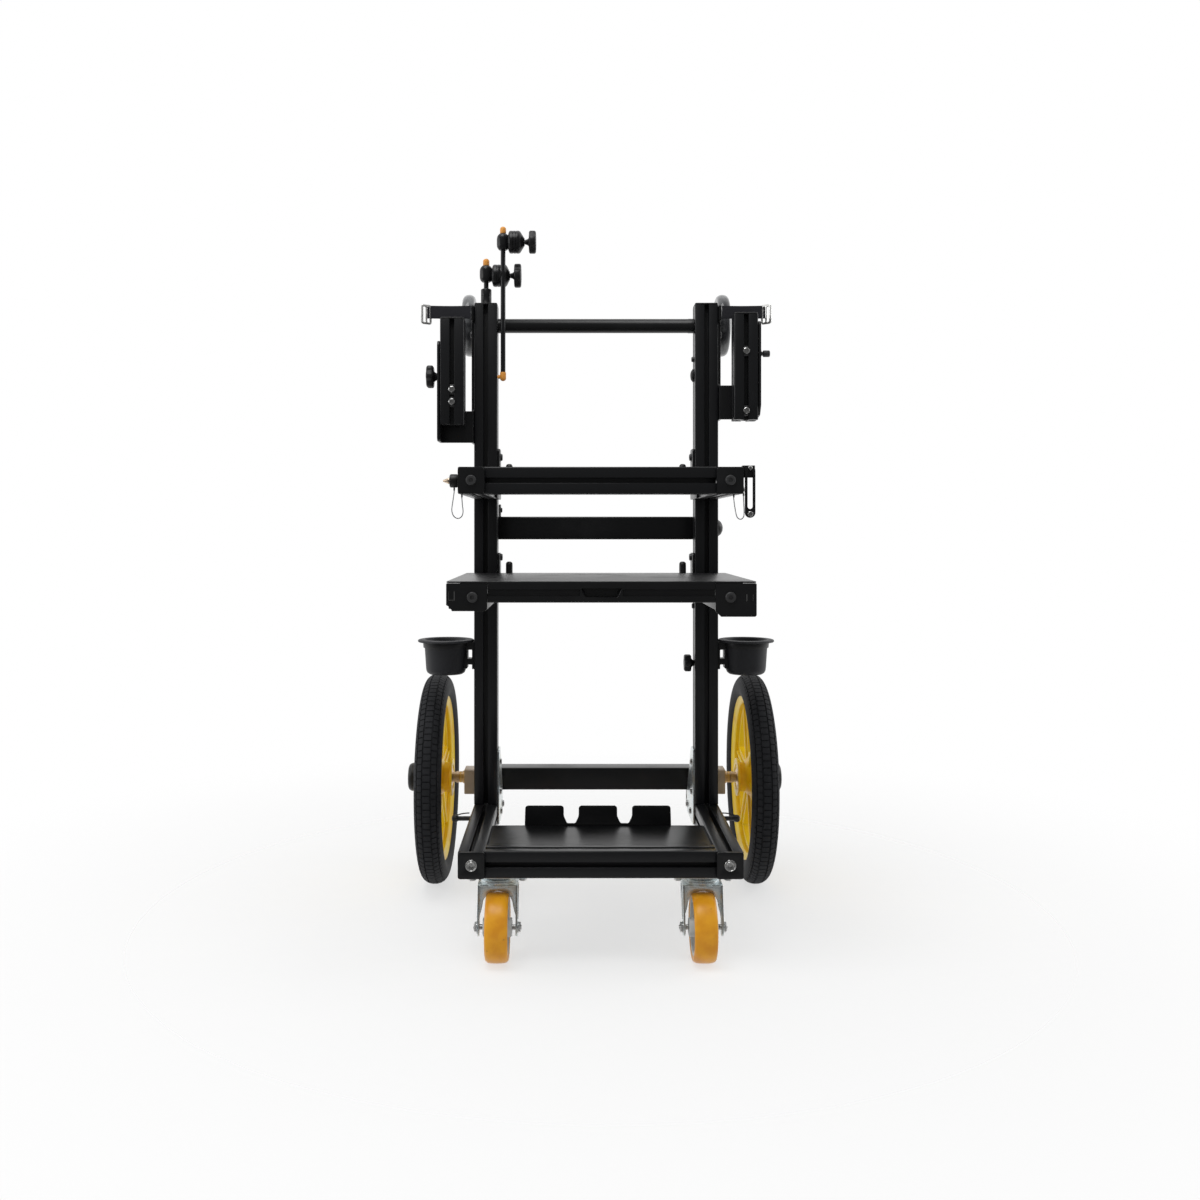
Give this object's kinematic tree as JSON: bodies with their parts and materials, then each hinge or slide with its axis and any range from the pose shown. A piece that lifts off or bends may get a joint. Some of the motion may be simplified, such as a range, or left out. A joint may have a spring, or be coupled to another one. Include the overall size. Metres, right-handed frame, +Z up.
{
  "type": "sound cart",
  "caption": "Upright equipment cart of slotted rail with large rear wheels, swivel casters, a tray, two shelves, cup holders, side wings and a jointed microphone arm.",
  "frame": {"origin": "on the floor, under the middle of the cart's box", "axes": "+X to the cart's right as seen from the front, +Y from the front (casters) to the back (large wheels), +Z up"},
  "size_m": [0.6786, 0.6704, 1.1615],
  "materials": {
    "black_anodised": "satin black anodised extrusion",
    "black_paint": "satin black powder coat",
    "black_plastic": "satin black moulded plastic",
    "matt_plastic": "matt black printed or moulded plastic",
    "tyre_rubber": "matt black rubber with a block tread",
    "yellow_rim": "satin yellow moulded plastic",
    "orange_tread": "orange polyurethane tread on a pale core",
    "clear_roller": "smoky grey, slightly translucent",
    "zinc": "bright zinc plated",
    "steel_wire": "fine steel wire rope",
    "bare_aluminium": "bare, slightly warm",
    "brass": "dull brass",
    "webbing": "woven black webbing"
  },
  "bodies": {
    "frame": {"base_frame": "black_anodised", "upright_left": "black_anodised", "upright_right": "black_anodised", "push_bar": "black_paint", "mid_crossbar": "black_paint", "axle_beam": "black_paint", "stub_axle_left": "bare_aluminium", "stub_axle_right": "bare_aluminium", "gusset_left": "zinc", "gusset_right": "zinc", "tray": "black_paint", "caster_plate_left": "zinc", "caster_plate_right": "zinc", "side_plate_left": "black_paint", "side_plate_right": "black_paint", "cup_bracket_left": "matt_plastic", "cup_bracket_right": "matt_plastic", "strap_left": "webbing", "strap_right": "webbing"},
    "wheel_left": {"rim_left": "yellow_rim", "tyre_left": "tyre_rubber", "hub_cap_left": "black_plastic"},
    "wheel_right": {"rim_right": "yellow_rim", "tyre_right": "tyre_rubber", "hub_cap_right": "black_plastic"},
    "lock_pin_left": {"lock_pin_left": "brass"},
    "lock_pin_right": {"lock_pin_right": "brass"},
    "caster_left": {"caster_fork_left": "zinc"},
    "caster_right": {"caster_fork_right": "zinc"},
    "caster_wheel_left": {"caster_wheel_left": "orange_tread"},
    "caster_wheel_right": {"caster_wheel_right": "orange_tread"},
    "roller_left": {"roller_left": "clear_roller"},
    "roller_right": {"roller_right": "clear_roller"},
    "upper_frame": {"upper_rails": "black_anodised", "upper_end_plate_left": "black_paint", "upper_end_plate_right": "black_paint", "lanyard_left": "steel_wire", "lanyard_right": "steel_wire"},
    "upper_lever_left": {"upper_lever_left": "black_plastic"},
    "upper_lever_right": {"upper_lever_right": "black_plastic"},
    "latch_pin": {"latch_pin": "brass"},
    "slotted_link": {"slotted_link": "black_paint"},
    "mid_shelf": {"mid_shelf_top": "black_paint", "mid_side_rail_left": "black_anodised", "mid_side_rail_right": "black_anodised", "mid_end_plate_left": "black_paint", "mid_end_plate_right": "black_paint"},
    "mid_lever_left": {"mid_lever_left": "black_plastic"},
    "mid_lever_right": {"mid_lever_right": "black_plastic"},
    "cup_left": {"cup_left": "matt_plastic"},
    "cup_right": {"cup_right": "matt_plastic"},
    "cup_knob": {"cup_knob": "black_plastic"},
    "wing_left": {"wing_left": "black_anodised"},
    "wing_right": {"wing_right": "black_anodised"},
    "wing_knob": {"wing_knob": "black_plastic"},
    "arm_lower": {"arm_lower_head": "black_paint"},
    "arm_lower_knob": {"arm_lower_knob": "black_plastic"},
    "arm_rod": {"arm_rod": "black_paint"},
    "arm_upper": {"arm_upper_head": "black_paint"},
    "arm_upper_knob": {"arm_upper_knob": "black_plastic"}
  },
  "joints": [
    {"name": "wheel_spin_left", "type": "hinge", "parent": "frame", "child": "wheel_left", "pos_m": [-0.288, 0.14725, 0.188], "axis": [1, 0, 0], "continuous": true},
    {"name": "wheel_spin_right", "type": "hinge", "parent": "frame", "child": "wheel_right", "pos_m": [0.288, 0.14725, 0.188], "axis": [1, 0, 0], "continuous": true},
    {"name": "lock_pin_slide_left", "type": "slide", "parent": "frame", "child": "lock_pin_left", "axis": [-1, 0, 0], "range_m": [0, 0.036]},
    {"name": "lock_pin_slide_right", "type": "slide", "parent": "frame", "child": "lock_pin_right", "axis": [1, 0, 0], "range_m": [0, 0.036]},
    {"name": "caster_swivel_left", "type": "hinge", "parent": "frame", "child": "caster_left", "pos_m": [-0.1525, -0.24175, 0.051], "axis": [0, 0, 1], "continuous": true},
    {"name": "caster_spin_left", "type": "hinge", "parent": "caster_left", "child": "caster_wheel_left", "pos_m": [-0.1525, -0.26875, 0.051], "axis": [1, 0, 0], "continuous": true},
    {"name": "caster_swivel_right", "type": "hinge", "parent": "frame", "child": "caster_right", "pos_m": [0.1525, -0.24175, 0.051], "axis": [0, 0, 1], "continuous": true},
    {"name": "caster_spin_right", "type": "hinge", "parent": "caster_right", "child": "caster_wheel_right", "pos_m": [0.1525, -0.26875, 0.051], "axis": [1, 0, 0], "continuous": true},
    {"name": "roller_spin_left", "type": "hinge", "parent": "frame", "child": "roller_left", "pos_m": [-0.227, 0.11325, 1.008], "axis": [1, 0, 0], "continuous": true},
    {"name": "roller_spin_right", "type": "hinge", "parent": "frame", "child": "roller_right", "pos_m": [0.227, 0.11325, 1.008], "axis": [1, 0, 0], "continuous": true},
    {"name": "upper_frame_height", "type": "slide", "parent": "frame", "child": "upper_frame", "axis": [0, 0, 1], "range_m": [-0.02, 0.06]},
    {"name": "upper_lever_turn_left", "type": "hinge", "parent": "upper_frame", "child": "upper_lever_left", "pos_m": [-0.1654, 0.03225, 0.713], "axis": [1, 0, 0], "range_deg": [-90, 0]},
    {"name": "upper_lever_turn_right", "type": "hinge", "parent": "upper_frame", "child": "upper_lever_right", "pos_m": [0.1654, 0.03225, 0.713], "axis": [1, 0, 0], "range_deg": [-90, 0]},
    {"name": "latch_pin_pull", "type": "slide", "parent": "upper_frame", "child": "latch_pin", "axis": [-1, 0, 0], "range_m": [0, 0.008], "stiffness_N_per_m": 400, "springref_m": -0.004},
    {"name": "slotted_link_swing", "type": "hinge", "parent": "upper_frame", "child": "slotted_link", "pos_m": [0.2203, -0.28275, 0.7313], "axis": [0, 1, 0], "range_deg": [-40, 0]},
    {"name": "mid_shelf_height", "type": "slide", "parent": "frame", "child": "mid_shelf", "axis": [0, 0, 1], "range_m": [0, 0.05]},
    {"name": "mid_lever_turn_left", "type": "hinge", "parent": "mid_shelf", "child": "mid_lever_left", "pos_m": [-0.1604, 0.03225, 0.5437], "axis": [1, 0, 0], "range_deg": [-90, 0]},
    {"name": "mid_lever_turn_right", "type": "hinge", "parent": "mid_shelf", "child": "mid_lever_right", "pos_m": [0.1604, 0.03225, 0.5437], "axis": [1, 0, 0], "range_deg": [-90, 0]},
    {"name": "cup_lift_left", "type": "slide", "parent": "frame", "child": "cup_left", "axis": [0, 0, 1], "range_m": [0, 0.06]},
    {"name": "cup_lift_right", "type": "slide", "parent": "frame", "child": "cup_right", "axis": [0, 0, 1], "range_m": [0, 0.06]},
    {"name": "cup_knob_turn", "type": "hinge", "parent": "frame", "child": "cup_knob", "pos_m": [0.1697, 0.03225, 0.4095], "axis": [1, 0, 0], "range_deg": [-180, 180]},
    {"name": "wing_height_left", "type": "slide", "parent": "frame", "child": "wing_left", "axis": [0, 0, 1], "range_m": [-0.02, 0.02]},
    {"name": "wing_height_right", "type": "slide", "parent": "frame", "child": "wing_right", "axis": [0, 0, 1], "range_m": [-0.02, 0.02]},
    {"name": "wing_knob_turn", "type": "hinge", "parent": "frame", "child": "wing_knob", "pos_m": [-0.2773, -0.02175, 0.899], "axis": [1, 0, 0], "range_deg": [-180, 180]},
    {"name": "arm_swivel", "type": "hinge", "parent": "frame", "child": "arm_lower", "pos_m": [-0.19, 0.02625, 1.069], "axis": [0, 0, 1], "range_deg": [-45, 0]},
    {"name": "arm_lower_knob_turn", "type": "hinge", "parent": "arm_lower", "child": "arm_lower_knob", "pos_m": [-0.1487, 0.02625, 1.08], "axis": [1, 0, 0], "range_deg": [-180, 180]},
    {"name": "arm_tilt", "type": "hinge", "parent": "arm_lower", "child": "arm_rod", "pos_m": [-0.166, 0.02625, 1.08], "axis": [1, 0, 0], "range_deg": [-60, 0]},
    {"name": "arm_upper_swivel", "type": "hinge", "parent": "arm_rod", "child": "arm_upper", "pos_m": [-0.16, 0.01125, 1.121], "axis": [0, 0, 1], "range_deg": [-90, 90]},
    {"name": "arm_upper_knob_turn", "type": "hinge", "parent": "arm_upper", "child": "arm_upper_knob", "pos_m": [-0.1227, 0.01125, 1.1345], "axis": [1, 0, 0], "range_deg": [-180, 180]}
  ]
}
